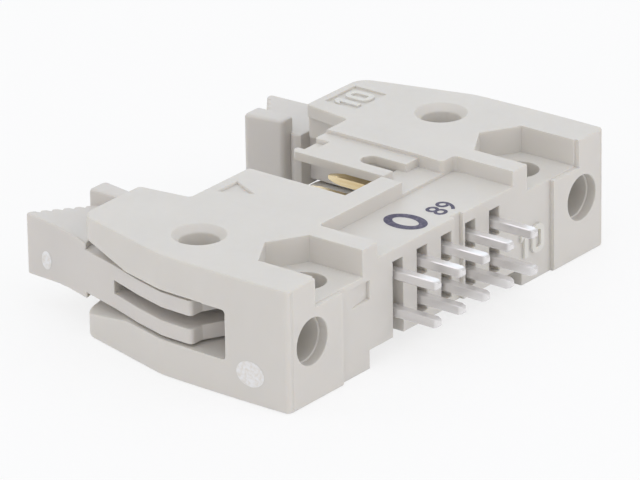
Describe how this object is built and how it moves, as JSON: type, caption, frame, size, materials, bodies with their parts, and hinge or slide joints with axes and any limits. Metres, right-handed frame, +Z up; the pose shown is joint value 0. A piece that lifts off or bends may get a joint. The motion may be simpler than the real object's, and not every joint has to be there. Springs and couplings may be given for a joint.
{
  "type": "locking board header for ribbon cable connectors",
  "caption": "Flat board header with a keyed mating cavity, rows of straight solder tails and a swinging locking and ejecting lever at each end.",
  "frame": {"origin": "middle of the bounding box, on its lowest face", "axes": "+X along the rows of contacts, +Y out of the mating cavity and past the levers, the solder tails point to -Y, +Z up through the broad sides; the part lies on its unkeyed broad side"},
  "size_m": [0.0332, 0.0272, 0.0082],
  "materials": {
    "grey_moulding": "satin light grey",
    "grey_lever": "satin light grey",
    "tinned_contact": "bright tin on the tails, gold on the blades"
  },
  "bodies": {
    "header": {"housing": "grey_moulding", "contact_1": "tinned_contact", "contact_2": "tinned_contact", "contact_3": "tinned_contact", "contact_4": "tinned_contact", "contact_5": "tinned_contact", "contact_6": "tinned_contact", "contact_7": "tinned_contact", "contact_8": "tinned_contact", "contact_9": "tinned_contact", "contact_10": "tinned_contact"},
    "left_latch": {"left_lever": "grey_lever"},
    "right_latch": {"right_lever": "grey_lever"}
  },
  "joints": [
    {"name": "left_lever_swing", "type": "hinge", "parent": "header", "child": "left_latch", "pos_m": [-0.01255, -0.00055, 0.0041], "axis": [0, 0, 1], "range_deg": [0, 38]},
    {"name": "right_lever_swing", "type": "hinge", "parent": "header", "child": "right_latch", "pos_m": [0.01255, -0.00055, 0.0041], "axis": [0, 0, -1], "range_deg": [0, 38]}
  ]
}
